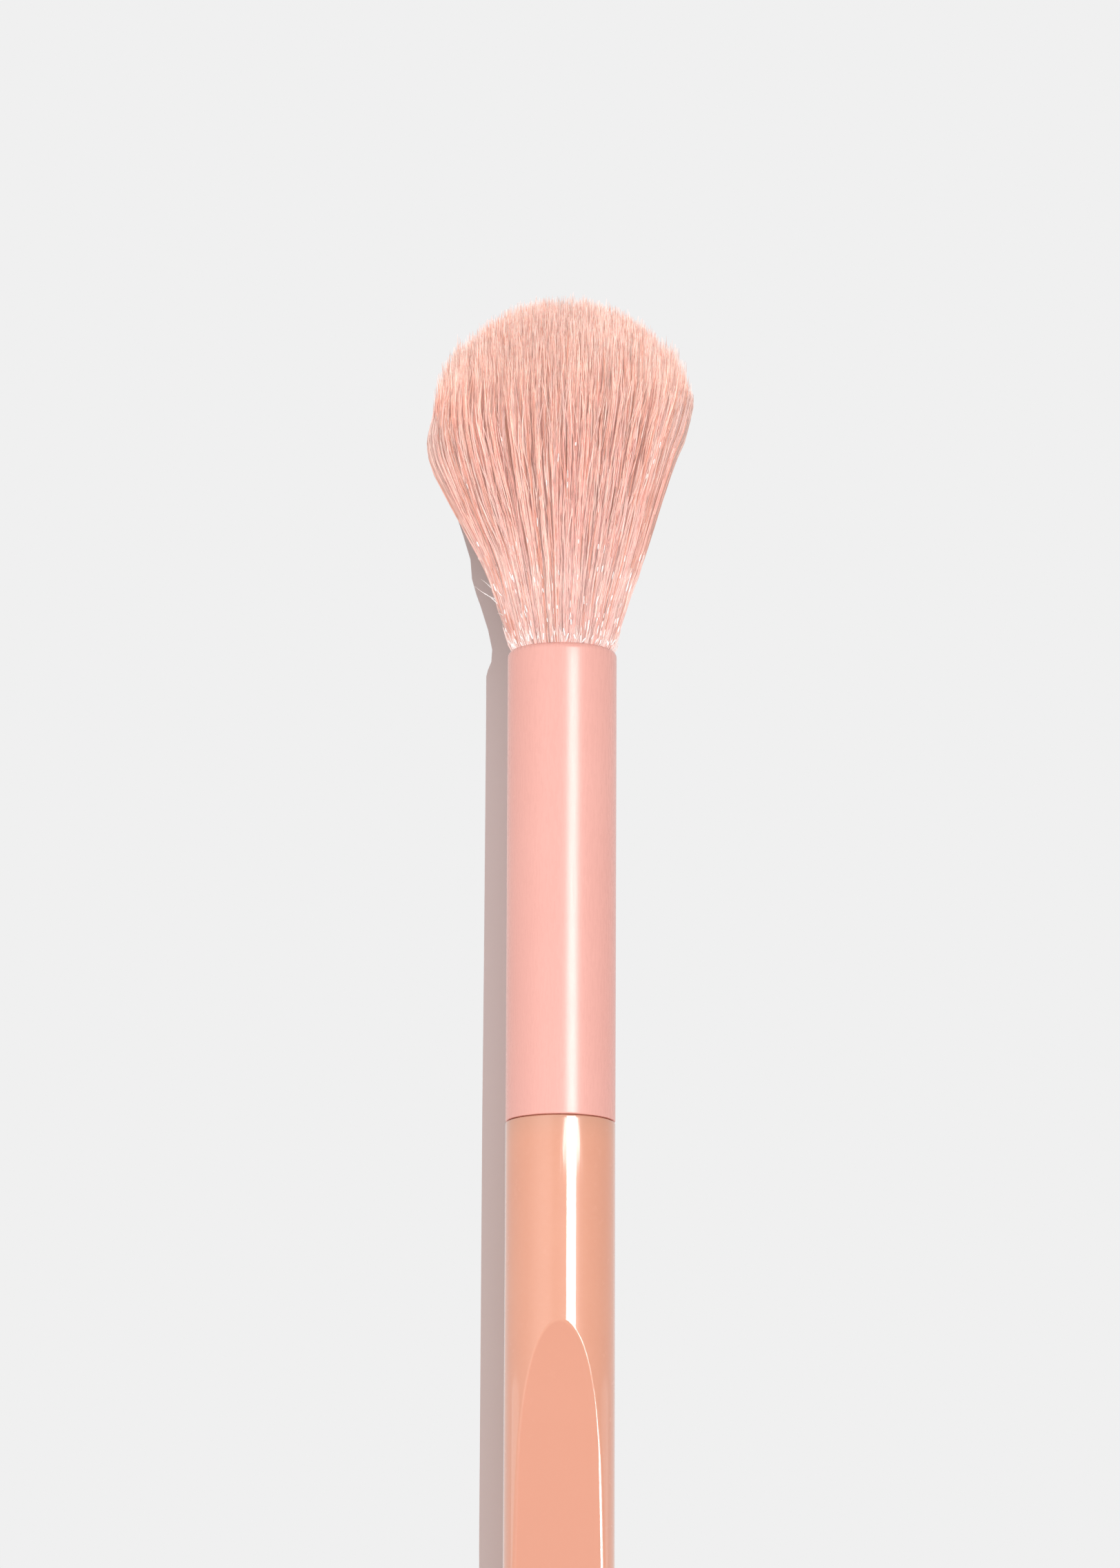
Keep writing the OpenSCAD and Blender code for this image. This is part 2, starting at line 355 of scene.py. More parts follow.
def fibre_material(name, stops, spread=0.22, hue=0.012, rough=0.46, sheen=0.03, glow=0.39, glow_tip=None, glow_low=0.0, brown=0.75):
    """Filament colour from its own UV: columns across are single filaments, and up is along the filament."""
    k = Mat(name)
    uv = k.node("ShaderNodeUVMap", uv_map="OFBake").outputs[0]
    sep = k.node("ShaderNodeSeparateXYZ")
    k.link(uv, sep.inputs[0])
    col = k.math("FLOOR", k.math("MULTIPLY", sep.outputs[0], 128.0))
    wn = k.node("ShaderNodeTexWhiteNoise", noise_dimensions="1D")
    k.link(k.math("ADD", col, 3.7), wn.inputs["W"])
    wn2 = k.node("ShaderNodeTexWhiteNoise", noise_dimensions="1D")
    k.link(k.math("ADD", col, 311.3), wn2.inputs["W"])
    along = k.ramp(sep.outputs[1], stops)
    vec = k.node("ShaderNodeCombineXYZ")
    k.link(k.math("MULTIPLY", col, 7.31), vec.inputs[0])
    k.link(k.math("MULTIPLY", sep.outputs[1], 34.0), vec.inputs[1])
    wave = k.noise(vec.outputs[0], 1.0, 2.0)
    hsv = k.node("ShaderNodeHueSaturation")
    k.link(along, hsv.inputs["Color"])
    k.link(k.math("ADD", k.math("MULTIPLY", wn2.outputs["Value"], hue), 0.5 - hue / 2), hsv.inputs["Hue"])
    k.link(k.math("ADD", k.math("MULTIPLY", wn2.outputs["Value"], -0.16), 1.06), hsv.inputs["Saturation"])
    wide = k.remap(sep.outputs[1], 0.5, 0.7, spread, spread * 1.45)
    value = k.math("ADD", k.math("MULTIPLY", k.math("SUBTRACT", wn.outputs["Value"], 0.585), wide), 1.0)
    value = k.math("MULTIPLY", value, k.remap(wave, 0.28, 0.72, 0.80, 1.12))
    k.link(value, hsv.inputs["Value"])
    # one filament in seven is a little browner
    brown = k.math("MULTIPLY", k.math("GREATER_THAN", wn2.outputs["Value"], 0.86), brown)
    colour = k.mix(brown, hsv.outputs[0], lin(218, 144, 122))
    k.link(colour, k.p.inputs["Base Color"])
    # painted light: the glow is made stronger towards the tips and over the lower part of the filament
    if glow_tip is not None:
        low = k.math("MULTIPLY", k.remap(sep.outputs[1], 0.52, 0.30, 0.0, glow_low), k.remap(sep.outputs[1], 0.02, 0.20, 0.35, 1.0))
        glow = k.math("ADD", k.remap(sep.outputs[1], 0.72, 0.95, glow, glow_tip), low)
    glow_to_camera(k, colour, glow)
    k.set(Roughness=rough, IOR=1.5, Specular_IOR_Level=0.5, Sheen_Weight=sheen, Sheen_Roughness=0.4)
    k.p.inputs["Sheen Tint"].default_value = (1.0, 0.86, 0.82, 1.0)
    return k.m


def core_material():
    k = Mat("core_filaments")
    uv = k.node("ShaderNodeUVMap", uv_map="OFBake").outputs[0]
    sep = k.node("ShaderNodeSeparateXYZ")
    k.link(uv, sep.inputs[0])
    vec = k.node("ShaderNodeCombineXYZ")
    k.link(k.math("MULTIPLY", sep.outputs[0], 260.0), vec.inputs[0])
    k.link(k.math("MULTIPLY", sep.outputs[1], 9.0), vec.inputs[1])
    streak = k.noise(vec.outputs[0], 1.0, 3.0, 0.7)
    # painted shade: the core's deeper tone and its dark streaks stand in for shade between filaments deep in the knot
    colour = k.ramp(streak, [(0.30, lin(190, 120, 104)), (0.5, lin(222, 152, 134)), (0.72, lin(243, 180, 163))])
    k.link(colour, k.p.inputs["Base Color"])
    glow_to_camera(k, colour, 0.42)
    k.link(k.bump(streak, 0.5, 0.0001), k.p.inputs["Normal"])
    k.set(Roughness=0.7, Specular_IOR_Level=0.2)
    return k.m


def thread_material():
    k = Mat("binding_thread")
    pos = k.node("ShaderNodeTexCoord").outputs["Object"]
    n = k.noise(pos, 5200.0, 3.0)
    k.link(k.mix(k.remap(n, 0.3, 0.7), lin(226, 218, 204), lin(247, 243, 234)), k.p.inputs["Base Color"])
    k.link(k.bump(n, 0.3, 0.00004), k.p.inputs["Normal"])
    k.set(Roughness=0.6)
    return k.m


def resin_material(name, a, b, rough):
    k = Mat(name)
    pos = k.node("ShaderNodeTexCoord").outputs["Object"]
    n = k.noise(pos, 420.0, 4.0)
    k.link(k.mix(k.remap(n, 0.3, 0.7), a, b), k.p.inputs["Base Color"])
    k.link(k.remap(n, 0.3, 0.7, rough, rough + 0.12), k.p.inputs["Roughness"])
    k.link(k.bump(n, 0.2, 0.00005), k.p.inputs["Normal"])
    return k.m


M_HANDLE = handle_material()
M_FERRULE = ferrule_material()
M_FIBRE = fibre_material("filament", [
    (0.0, lin(243, 198, 188)), (0.07, lin(240, 190, 179)), (0.17, lin(243, 195, 184)), (0.30, lin(246, 197, 185)),
    (0.42, lin(247, 191, 178)), (0.56, lin(248, 186, 171)), (0.84, lin(253, 187, 169)), (0.94, lin(255, 199, 181)), (1.0, lin(255, 217, 203))],
    spread=0.54, hue=0.016, sheen=0.03, glow=0.39, glow_tip=0.58, glow_low=0.055)
M_PALE = fibre_material("short_pale_fibre", [
    (0.0, lin(255, 250, 248)), (0.45, lin(255, 247, 244)), (0.55, lin(246, 208, 200)), (1.0, lin(250, 220, 212))],
    spread=0.08, hue=0.006, rough=0.3, sheen=0.0, glow=0.5, brown=0.0)
M_LOOSE = fibre_material("loose_filament", [
    (0.0, lin(245, 187, 172)), (0.5, lin(243, 183, 168)), (0.8, lin(245, 187, 172)), (1.0, lin(252, 213, 201))],
    spread=0.46, hue=0.016, glow=0.36)
M_WISP = fibre_material("lying_filament", [
    (0.0, lin(252, 212, 202)), (0.5, lin(251, 203, 190)), (1.0, lin(250, 198, 184))], spread=0.34, hue=0.016)
M_CORE = core_material()
M_ROOT = fibre_material("bound_root", [
    (0.0, lin(214, 160, 140)), (0.4, lin(232, 176, 158)), (1.0, lin(246, 198, 186))], spread=0.3)


# ------------------------------------------------------------------
# Handle: one closed skin from the tail, over the facet, up the tenon
# and down the blind core
# ------------------------------------------------------------------
def facet_c(z):
    """Distance from the axis to the facet's surface at height z, large above the facet."""
    if z >= FACET_Z:
        return 99.0
    if z >= FLAT_Z:
        return -(SCOOP_Y + math.sqrt(SCOOP_R ** 2 - (z - SCOOP_Z) ** 2))
    return -(FLAT_Y + (FLAT_Z - z) * math.tan(FACET_SLOPE))


def d_outline(r, c, f, n=320, n_flat=52, n_fil=12):
    """Points round a circle of radius r cut flat at distance c in front, with fillets of radius f. Angle 0 faces -Y."""
    cut = c < r - 1e-6
    if cut:
        xf = math.sqrt(max((r - f) ** 2 - (c - f) ** 2, 0.0))
        p1, p2 = math.atan2(xf, c), math.atan2(xf, c - f)
    else:
        xf, p1, p2 = 0.0, 0.0, 0.0
    q1 = max(p1, math.radians(2.0))
    q2 = max(p2, q1 + math.radians(1.4))
    n_back = n - n_flat - 2 * n_fil
    ang = np.concatenate([
        np.linspace(-q1, q1, n_flat, endpoint=False),
        np.linspace(q1, q2, n_fil, endpoint=False),
        np.linspace(q2, 2 * math.pi - q2, n_back, endpoint=False),
        np.linspace(2 * math.pi - q2, 2 * math.pi - q1, n_fil, endpoint=False),
    ])
    a = np.abs(np.where(ang > math.pi, ang - 2 * math.pi, ang))
    rad = np.full(n, float(r))
    if cut:
        rad = np.where(a <= p1, c / np.cos(np.minimum(a, 1.5)), rad)
        mid = (a > p1) & (a < p2)
        dot = np.sin(a) * xf + np.cos(a) * (c - f)
        inside = np.maximum(dot ** 2 - (xf ** 2 + (c - f) ** 2 - f ** 2), 0)
        rad = np.where(mid, dot + np.sqrt(inside), rad)
    return np.stack([rad * np.sin(ang), -rad * np.cos(ang)], -1)


def build_handle():
    rings, arc = [], []

    def add(z, r, c=99.0, f=0.80, ds=None):
        o = d_outline(r, c, f)
        rings.append(np.concatenate([o, np.full((len(o), 1), z)], 1))
        arc.append(0.0 if not arc else arc[-1] + ds)

    def body_r(z):
        return TAIL_R + (BODY_R - TAIL_R) * max(z - 0.8, 0) / (SEAM - 0.8)

    def edge_f(z):
        # the facet's edge is crisp at the arch and rounder towards the tail
        t = min(max((FACET_Z - 5.0 - z) / 20.0, 0.0), 1.0)
        return 0.55 + 0.25 * t * t * (3 - 2 * t)

    # tail face, in a few rings so that its shading stays flat
    c0 = facet_c(0.0)
    for s in (0.35, 0.7, 0.93):
        add(0.0, (TAIL_R - 0.8) * s, (c0 - 0.22) * s, 0.3 * s, 1.6)
    # rounded bevel of the tail, and a small round on the facet's own edge
    prof = fine_profile([(TAIL_R - 1.3, 0.0), (TAIL_R - 0.8, 0.0), (TAIL_R, 0.8), (TAIL_R, 1.6)], [0, 0.5, 0.9, 0], 0.25)
    for r, z in prof:
        e = 0.22
        inset = 0.0 if z >= e else e - math.sqrt(max(e * e - (e - z) ** 2, 0))
        add(z, max(r, TAIL_R - 0.8) if z == 0 else r, facet_c(z) - 0.18 - inset, 0.80, 0.25)
    zs = list(np.arange(2.4, FLAT_Z - 1.5, 1.6)) + list(np.arange(FLAT_Z - 1.2, FACET_Z - 6.2, 0.7))
    zs += [FACET_Z - 6.0 * (1 - k / 30) ** 2 for k in range(30)]
    zs += [FACET_Z - 0.0008, FACET_Z + 0.0008, FACET_Z + 0.06, FACET_Z + 0.2, FACET_Z + 0.5, FACET_Z + 1.1]
    zs += list(np.arange(FACET_Z + 2.0, SEAM - 5.5, 1.5)) + list(np.arange(SEAM - 5.2, SEAM - 0.4, 0.35))
    for z in zs:
        f = edge_f(z)
        add(z, body_r(z), facet_c(z) - 0.72 * (f - 0.55), f, abs(z - rings[-1][0][2]))
    # shoulder, tenon with its glue grooves, end face and blind core
    tenon_r = 5.98
    pts = [(body_r(SEAM - 0.36), SEAM - 0.36), (body_r(SEAM - 0.36), SEAM), (tenon_r, SEAM), ]
    rad = [0, 0.16, 0.08]
    for i in range(4):
        g = SEAM + 4 + i * (TENON_TOP - SEAM - 8) / 3
        pts += [(tenon_r, g - 0.6), (tenon_r - 0.35, g - 0.6), (tenon_r - 0.35, g + 0.6), (tenon_r, g + 0.6)]
        rad += [0.05, 0.05, 0.05, 0.05]
    pts += [(tenon_r, TENON_TOP - 0.8), (tenon_r - 0.8, TENON_TOP), (2.5, TENON_TOP), (2.5, 34.5)]
    rad += [0.2, 0.2, 0.12, 0]
    pts += [(2.5 * math.cos(t), 34.5 - 2.5 * math.sin(t)) for t in np.linspace(0.16, 1.42, 8)]
    rad += [0] * 8
    prof = fine_profile(pts, rad, 3.0)
    last = rings[-1][0][2]
    for r, z in prof:
        prev = rings[-1]
        add(z, r, 99.0, 0.34, max(0.02, math.hypot(z - prev[0][2], 0.0)))
    return rings_to_mesh("handle_body", rings, arc, pole_start=True, pole_end=True)


handle = build_handle()
handle.data.materials.append(M_HANDLE)
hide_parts("handle")
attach(handle, "root")


# ------------------------------------------------------------------
# Ferrule: drawn tube with a rolled rim
# ------------------------------------------------------------------
def build_ferrule():
    wall, rim = 0.4, 0.75
    z0, z1 = SEAM + 0.14, MOUTH
    rb = BODY_R - wall
    out = []
    # outside: bottom edge, wall, rim
    for t in np.linspace(0, math.pi / 2, 7):
        out.append((BODY_R - 0.16 + 0.16 * math.sin(t), z0 + 0.16 - 0.16 * math.cos(t)))
    n = 46
    for i in range(1, n):
        out.append((BODY_R, z0 + 0.16 + (z1 - rim - z0 - 0.16) * i / n))
    for t in np.linspace(0, math.pi / 2, 16):
        out.append((BODY_R - rim + rim * math.cos(t), z1 - rim + rim * math.sin(t)))
    # the rolled edge is rounded over, then the inside of the roll
    for t in np.linspace(math.pi / 2, 3 * math.pi / 2, 8)[1:-1]:
        out.append((BODY_R - rim + 0.5 * wall * 0.6 * math.cos(t), z1 - wall / 2 + 0.5 * wall * math.sin(t)))
    for t in np.linspace(math.pi / 2, 0, 10):
        out.append((BODY_R - rim + (rim - wall) * math.cos(t), z1 - rim + (rim - wall) * math.sin(t)))
    for i in range(1, n):
        out.append((rb, z1 - rim + (z0 + 0.16 - z1 + rim) * i / n))
    for t in np.linspace(0, math.pi / 2, 5):
        out.append((rb + 0.12 * (1 - math.cos(t)), z0 + 0.12 - 0.12 * math.sin(t)))
    prof = [out[0]]
    for p in out[1:]:
        if math.dist(p, prof[-1]) > 1e-4:
            prof.append(p)
    N = 256
    ang = np.arange(N) / N * 2 * math.pi
    rings = [np.stack([r * np.sin(ang), -r * np.cos(ang), np.full(N, z)], -1) for r, z in prof]
    arc = [0.0]
    for p, q in zip(prof, prof[1:] + prof[:1]):
        arc.append(arc[-1] + max(math.dist(p, q), 0.05))
    return rings_to_mesh("ferrule_tube", rings, arc, closed=True)


ferrule = build_ferrule()
ferrule.data.materials.append(M_FERRULE)
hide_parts("ferrule")
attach(ferrule, "root")


# ------------------------------------------------------------------
# Tuft
# ------------------------------------------------------------------
ENV_H = np.array([-6, -1.2, -0.5, 0.1, 0.5, 1.2, 2.5, 4.0, 6.6, 9.0, 11.8, 16.2, 20.0, 23.0, 26.0, 29.0, 32.0, 36.0, 44.0])
ENV_R = np.array([5.3, 5.5, 5.62, 5.86, 6.12, 6.38, 6.78, 7.22, 8.02, 8.9, 9.95, 11.75, 13.15, 14.2, 15.0, 15.45, 15.65, 15.8, 15.9])
LEAN_H = np.array([9.0, 11.4, 13.8, 16.2, 19.0, 22.1, 25.5, 28.0, 31.3, 34.0, 44.0])
LEAN_R = np.array([0.0, -0.1, -0.40, -0.68, -0.88, -1.02, -0.90, -0.40, 0.10, 0.0, 0.0])
_h = np.linspace(-6, 44, 2001)
_r = np.interp(_h, ENV_H, ENV_R)
_k = np.exp(-0.5 * (np.arange(-60, 61) * 0.025 / 0.45) ** 2)
_k /= _k.sum()
_s = np.convolve(np.pad(_r, 60, mode="edge"), _k, mode="valid")
_w = np.clip((_h - 0.5) / 1.5, 0, 1)
_r = _r * (1 - _w) + _s * _w


def env(h, phi):
    """Radius of the outermost filaments at height h above the mouth, in direction phi (0 is +X)."""
    base = np.interp(h, _h, _r)
    lean = np.interp(h, LEAN_H, LEAN_R)
    grow = np.clip(h / 26.0, 0, 1) ** 2
    return base + lean * np.cos(phi) + grow * (0.12 * np.sin(2 * phi) + 0.14 * np.sin(3 * phi))


def dome(h):
    """Radius of the domed end at height h."""
    return np.sqrt(np.maximum(DOME_R ** 2 - (h - DOME_H) ** 2, 0.0))


def shoulder(u, phi):
    """The dome is a little fuller at its two sides."""
    c = np.cos(phi)
    left = 0.75 * u ** 6 * np.maximum(-c, 0) ** 2
    right = 0.52 * u ** 2 * np.maximum(c, 0) ** 2
    return left + right + 0.16 * np.exp(-((u - 0.38) / 0.2) ** 2)


def tip_height(u, phi, grow):
    """Height at which a filament on share u of the envelope meets the dome, scaled about its centre by grow."""
    grid = np.linspace(DOME_H - 5.0, HEAD_L + 1.5, 420)
    e = env(grid[None, :], phi[:, None]) * u[:, None]
    d = np.sqrt(np.maximum((DOME_R * grow[:, None]) ** 2 - (grid[None, :] - DOME_H) ** 2, 0.0))
    d = np.where(grid[None, :] < DOME_H, 99.0, d)
    hit = np.argmax(e > d, axis=1)
    return grid[hit]


def nearest(points, centres, block=1500):
    out = np.empty(len(points), np.int64)
    for i in range(0, len(points), block):
        d = ((points[i:i + block, None, :] - centres[None, :, :]) ** 2).sum(-1)
        out[i:i + block] = d.argmin(1)
    return out


def smooth(x, a, b):
    t = np.clip((x - a) / (b - a), 0, 1)
    return t * t * (3 - 2 * t)


def fibre_paths(xy, levels, tips, seed, clump_share=0.34, wave=1.0):
    """Centre lines of filaments. xy is the root as a share of the envelope, levels (N, M) the heights, tips (N,) the tip height."""
    g = np.random.default_rng(seed)
    n, m = levels.shape
    u = np.hypot(xy[:, 0], xy[:, 1])
    phi = np.arctan2(xy[:, 1], xy[:, 0])
    centres = CLUMPS
    which = nearest(xy, centres)
    toward = centres[which] - xy
    coarse = nearest(xy, CLUMPS_BIG)
    toward_big = CLUMPS_BIG[coarse] - xy
    scale = env(levels, phi[:, None])
    left = tips[:, None] - levels
    c = clump_share * (0.5 * smooth(levels, 1.5, 10.0) + 0.58 * smooth(levels, 8.0, 21.0)) * (1 - 0.45 * smooth(-left, -6.0, -0.5))
    cb = 0.07 * smooth(levels, 3.0, 14.0) * (1 - 0.5 * smooth(-left, -6.0, 0.0))
    x = (xy[:, 0, None] + toward[:, 0, None] * c + toward_big[:, 0, None] * cb) * scale
    y = (xy[:, 1, None] + toward[:, 1, None] * c + toward_big[:, 1, None] * cb) * scale
    # waves shared by a clump, and finer ones of each filament
    wl = CLUMP_WAVE["length"][which][:, None]
    ph = CLUMP_WAVE["phase"][which][:, None]
    dr = CLUMP_WAVE["dir"][which][:, None]
    am = CLUMP_WAVE["amp"][which][:, None] * smooth(levels, 0.8, 8.0) * wave
    s = np.sin(2 * math.pi * levels / wl + ph)
    x += am * s * np.cos(dr)
    y += am * s * np.sin(dr)
    fl = g.uniform(4.0, 9.0, (n, 1))
    fp = g.uniform(0, 2 * math.pi, (n, 1))
    fd = g.uniform(0, 2 * math.pi, (n, 1))
    fa = g.uniform(0.03, 0.15, (n, 1)) * smooth(levels, 0.8, 6.0) * wave
    s = np.sin(2 * math.pi * levels / fl + fp)
    x += fa * s * np.cos(fd)
    y += fa * s * np.sin(fd)
    # tips turn a little their own way
    td = g.uniform(0, 2 * math.pi, (n, 1))
    ta = g.uniform(0.0, 0.38, (n, 1)) * smooth(-left, -4.5, 0.0) ** 1.5
    x += ta * np.cos(td)
    y += ta * np.sin(td)
    return np.stack([x, y, levels + MOUTH], -1)


def tubes(name, paths, radii, v, column, sides=3, cap=True):
    """Thin closed tubes along paths (N, M, 3) with radii (N, M), as one mesh. v (N, M) is the place along the filament."""
    n, m = paths.shape[:2]
    tan = np.gradient(paths, axis=1)
    tan /= np.linalg.norm(tan, axis=2, keepdims=True)
    mid = paths[:, :, :2]
    ref = np.concatenate([mid, np.zeros((n, m, 1))], -1)
    ref /= np.maximum(np.linalg.norm(ref, axis=2, keepdims=True), 1e-6)
    a = ref - (ref * tan).sum(-1, keepdims=True) * tan
    a /= np.maximum(np.linalg.norm(a, axis=2, keepdims=True), 1e-6)
    b = np.cross(tan, a)
    ang = np.arange(sides) / sides * 2 * math.pi
    ring = (a[:, :, None, :] * np.cos(ang)[None, None, :, None] + b[:, :, None, :] * np.sin(ang)[None, None, :, None])
    verts = (paths[:, :, None, :] + ring * radii[:, :, None, None]).reshape(-1, 3)
    idx = np.arange(n * m * sides).reshape(n, m, sides)
    p, q = idx[:, :-1], idx[:, 1:]
    quads = np.stack([p, np.roll(p, -1, 2), np.roll(q, -1, 2), q], -1).reshape(-1, 4)
    uc = (column[:, None, None] + 0.16 + 0.68 * np.arange(sides)[None, None, :] / sides) / 128.0
    ud = (column[:, None, None] + 0.16 + 0.68 * (np.arange(sides)[None, None, :] + 1) / sides) / 128.0
    shape = (n, m - 1, sides)
    uc, ud = np.broadcast_to(uc, shape), np.broadcast_to(ud, shape)
    v = np.clip(v, 0.003, 0.997)
    v0 = np.broadcast_to(v[:, :-1, None], shape)
    v1 = np.broadcast_to(v[:, 1:, None], shape)
    uv = np.stack([np.stack([uc, v0], -1), np.stack([ud, v0], -1), np.stack([ud, v1], -1), np.stack([uc, v1], -1)], 3).reshape(-1, 4, 2)
    faces, uvs = [quads], [uv]
    if cap:
        # the end caps have corners of their own, so that the sides keep their own shading
        grid = verts.reshape(n, m, sides, 3)
        start = len(verts)
        verts = np.concatenate([verts, grid[:, 0].reshape(-1, 3), grid[:, -1].reshape(-1, 3)])
        ends = np.arange(2 * n * sides).reshape(2, n, sides) + start
        base, top = ends[0][:, ::-1], ends[1]
        for tri, vv in ((base, v[:, 0]), (top, v[:, -1])):
            faces.append(tri.reshape(-1, sides))
            cc = np.stack([(column + 0.2) / 128.0, (column + 0.5) / 128.0, (column + 0.8) / 128.0], -1)[:, :sides]
            vs = np.stack([vv, np.clip(vv + 0.004, 0, 1), vv], -1)[:, :sides]
            uvs.append(np.stack([cc, vs], -1))
    return make_mesh(name, verts, faces, uvs, sharp=None)


def disc(count, lo, hi, g):
    """Points spread evenly over a ring of the unit disc, as shares of the envelope."""
    r = np.sqrt(g.uniform(lo * lo, hi * hi, count))
    t = g.uniform(0, 2 * math.pi, count)
    return np.stack([r * np.cos(t), r * np.sin(t)], -1)


CLUMPS = disc(2600, 0.0, 1.0, rng)
CLUMPS_BIG = disc(420, 0.0, 1.0, rng)
CLUMP_WAVE = {
    "length": rng.uniform(8.0, 17.0, len(CLUMPS)),
    "phase": rng.uniform(0, 2 * math.pi, len(CLUMPS)),
    "dir": rng.uniform(0, 2 * math.pi, len(CLUMPS)),
    "amp": rng.uniform(0.04, 0.2, len(CLUMPS)),
}
CLUMP_LEN = rng.normal(0, 0.26, len(CLUMPS)).clip(-0.6, 0.5)
BIG_LEN = rng.normal(0, 0.2, len(CLUMPS_BIG)).clip(-0.45, 0.35)

N_OUT = 5200
N_IN = 8400


def taper(levels, tips, thick):
    """Radius along a filament: a little finer at the bound root, drawn out to a point at the tip."""
    left = np.maximum(tips[:, None] - levels, 0.0)
    r = thick[:, None] * (0.74 + 0.26 * smooth(levels, 0.0, 9.0))
    return np.maximum(r * np.clip(left / 5.5, 0, 1) ** 0.62, 0.011)


def outer_set():
    g = np.random.default_rng(77)
    xy = disc(N_OUT, 0.80, 1.0, g)
    u, phi = np.hypot(xy[:, 0], xy[:, 1]), np.arctan2(xy[:, 1], xy[:, 0])
    k, kb = nearest(xy, CLUMPS), nearest(xy, CLUMPS_BIG)
    grow = 1 + (g.normal(0, 0.24, N_OUT) + CLUMP_LEN[k] + BIG_LEN[kb] + shoulder(u, phi) - 0.40) / DOME_R
    tips = tip_height(u, phi, grow)
    # the outermost filaments are the shortest and end below the dome's shoulder
    short = smooth(u, 0.93, 1.0)
    tips -= short * np.abs(g.normal(0.0, 1.5, N_OUT))
    return xy, tips, g


def build_outer():
    xy, tips, g = outer_set()
    n = len(xy)
    thick = 0.078 * np.exp(g.normal(0, 0.2, n))
    column = g.integers(0, 128, n)
    lower = np.array([-1.3, -0.6, -0.1, 0.35, 0.9, 1.7, 3.0, 5.0, 7.2, CUT_H])
    lev = np.broadcast_to(lower, (n, len(lower))).copy()
    p = fibre_paths(xy, lev, tips, 5)
    rad = taper(lev, tips, thick)
    v = np.clip(lev, 0, None) / tips[:, None]
    lows = []
    for i in range(2):
        s = slice(i * n // 2, (i + 1) * n // 2)
        lows.append(tubes(f"tuft_lower_{'ab'[i]}", p[s], rad[s], v[s], column[s]))
    f = np.array([0, 0.12, 0.25, 0.38, 0.51, 0.64, 0.76, 0.86, 0.94, 1.0])
    lev = CUT_H + f[None, :] * (tips[:, None] - CUT_H)
    p = fibre_paths(xy, lev, tips, 5)
    rad = taper(lev, tips, thick)
    v = np.clip(lev, 0, None) / tips[:, None]
    ups = []
    for i in range(2):
        s = slice(i * n // 2, (i + 1) * n // 2)
        ups.append(tubes(f"tuft_outer_{'ab'[i]}", p[s], rad[s], v[s], column[s]))
    return lows, ups


def build_inner():
    g = np.random.default_rng(78)
    xy = disc(N_IN, 0.0, 0.82, g)
    u, phi = np.hypot(xy[:, 0], xy[:, 1]), np.arctan2(xy[:, 1], xy[:, 0])
    k, kb = nearest(xy, CLUMPS), nearest(xy, CLUMPS_BIG)
    grow = 1 + (g.normal(0, 0.24, N_IN) + CLUMP_LEN[k] + BIG_LEN[kb] + shoulder(u, phi) - 0.40) / DOME_R
    tips = tip_height(u, phi, grow)
    n = len(xy)
    thick = 0.082 * np.exp(g.normal(0, 0.17, n))
    column = g.integers(0, 128, n)
    f = np.array([0, 0.3, 0.55, 0.76, 0.91, 1.0])
    lev = tips[:, None] - 9.0 * (1 - f[None, :])
    p = fibre_paths(xy, lev, tips, 6)
    rad = taper(lev, tips, thick)
    v = lev / tips[:, None]
    made = []
    for i in range(3):
        s = slice(i * n // 3, (i + 1) * n // 3)
        made.append(tubes(f"tuft_crown_{'abc'[i]}", p[s], rad[s], v[s], column[s]))
    return made


